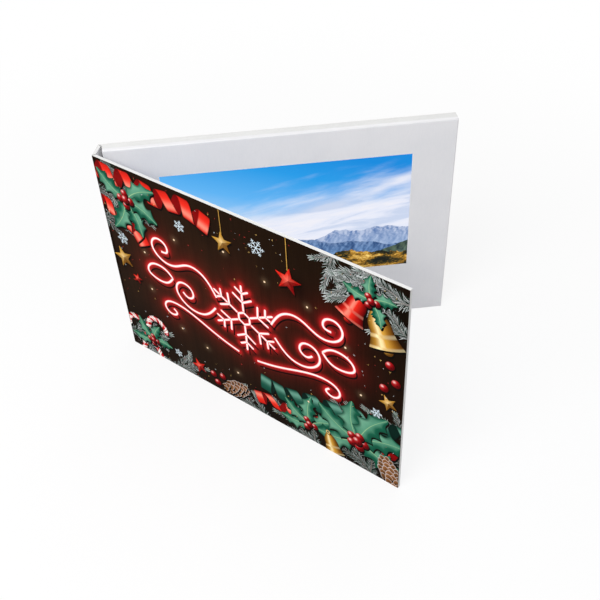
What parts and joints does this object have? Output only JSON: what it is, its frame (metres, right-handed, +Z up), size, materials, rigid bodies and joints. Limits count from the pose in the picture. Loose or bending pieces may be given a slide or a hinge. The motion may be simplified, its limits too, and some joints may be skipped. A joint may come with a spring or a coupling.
{
  "type": "lcd video brochure",
  "caption": "Hard-cover A5 landscape brochure whose cover and spine fold open on creases to show a flat screen, with round keys, a speaker and a charging socket.",
  "frame": {"origin": "middle of the case's bottom face, on the mid-plane of its outer depth", "axes": "+X to the right for a viewer of the screen, +Y out of the back, +Z up; the case stands on its long lower edge"},
  "size_m": [0.2154, 0.1567, 0.148],
  "materials": {
    "white_paper": "smooth white art paper",
    "white_board": "dense white board, cut edge",
    "printed_paper": "printed art paper, matt film",
    "black_glass": "dark display glass",
    "frame_steel": "thin pressed steel",
    "reflector": "white reflector",
    "ribbon": "amber polyimide",
    "circuit": "green solder mask",
    "foam": "black foam tape",
    "chip_black": "black epoxy",
    "key_white": "matt white plastic",
    "key_black": "matt black plastic",
    "plated_steel": "tin-plated steel",
    "pouch_foil": "laminated foil pouch",
    "tape_amber": "amber film tape",
    "lead_red": "red sleeve",
    "lead_black": "black sleeve",
    "socket_white": "natural nylon",
    "cone_paper": "black pressed paper",
    "magnet": "nickel-plated magnet"
  },
  "bodies": {
    "case": {"face_sheet": "white_paper", "front_board": "white_board", "tray_frame": "white_board", "back_board": "white_board", "back_sheet": "printed_paper", "back_crease": "printed_paper", "lcd_frame": "frame_steel", "lcd_glass": "black_glass", "lcd_backlight": "reflector", "lcd_flex": "ribbon", "flex_connector": "socket_white", "main_board": "circuit", "circuit_pads": "foam", "board_chips": "chip_black", "hall_sensor": "chip_black", "key_switches": "key_black", "usb_socket": "plated_steel", "usb_tongue": "key_black", "battery_cell": "pouch_foil", "battery_tapes": "foam", "battery_guard": "tape_amber", "battery_lead_red": "lead_red", "battery_lead_black": "lead_black", "lead_sockets": "socket_white", "speaker_basket": "plated_steel", "speaker_cone": "cone_paper", "speaker_magnet": "magnet", "speaker_lead": "lead_black"},
    "spine": {"spine_sheet": "printed_paper", "spine_board": "white_board", "spine_lining": "white_paper", "front_crease": "printed_paper"},
    "front_cover": {"cover_sheet": "printed_paper", "cover_board": "white_board", "cover_lining": "white_paper", "cover_magnet": "magnet"},
    "button_previous": {"button_previous": "key_white"},
    "button_play": {"button_play": "key_white"},
    "button_next": {"button_next": "key_white"},
    "button_volume_down": {"button_volume_down": "key_white"},
    "button_volume_up": {"button_volume_up": "key_white"}
  },
  "joints": [
    {"name": "spine_fold", "type": "hinge", "parent": "case", "child": "spine", "pos_m": [-0.10725, 0.00385, 0.074], "axis": [0, 0, -1], "range_deg": [-14.1, 75.9]},
    {"name": "cover_fold", "type": "hinge", "parent": "spine", "child": "front_cover", "pos_m": [-0.11015, -0.00769, 0.074], "axis": [0, 0, -1], "range_deg": [-29, 61]},
    {"name": "previous_press", "type": "slide", "parent": "case", "child": "button_previous", "axis": [0, 1, 0], "range_m": [0, 0.0004], "stiffness_N_per_m": 900, "springref_m": -0.0003},
    {"name": "play_press", "type": "slide", "parent": "case", "child": "button_play", "axis": [0, 1, 0], "range_m": [0, 0.0004], "stiffness_N_per_m": 900, "springref_m": -0.0003},
    {"name": "next_press", "type": "slide", "parent": "case", "child": "button_next", "axis": [0, 1, 0], "range_m": [0, 0.0004], "stiffness_N_per_m": 900, "springref_m": -0.0003},
    {"name": "volume_down_press", "type": "slide", "parent": "case", "child": "button_volume_down", "axis": [0, 1, 0], "range_m": [0, 0.0004], "stiffness_N_per_m": 900, "springref_m": -0.0003},
    {"name": "volume_up_press", "type": "slide", "parent": "case", "child": "button_volume_up", "axis": [0, 1, 0], "range_m": [0, 0.0004], "stiffness_N_per_m": 900, "springref_m": -0.0003}
  ]
}
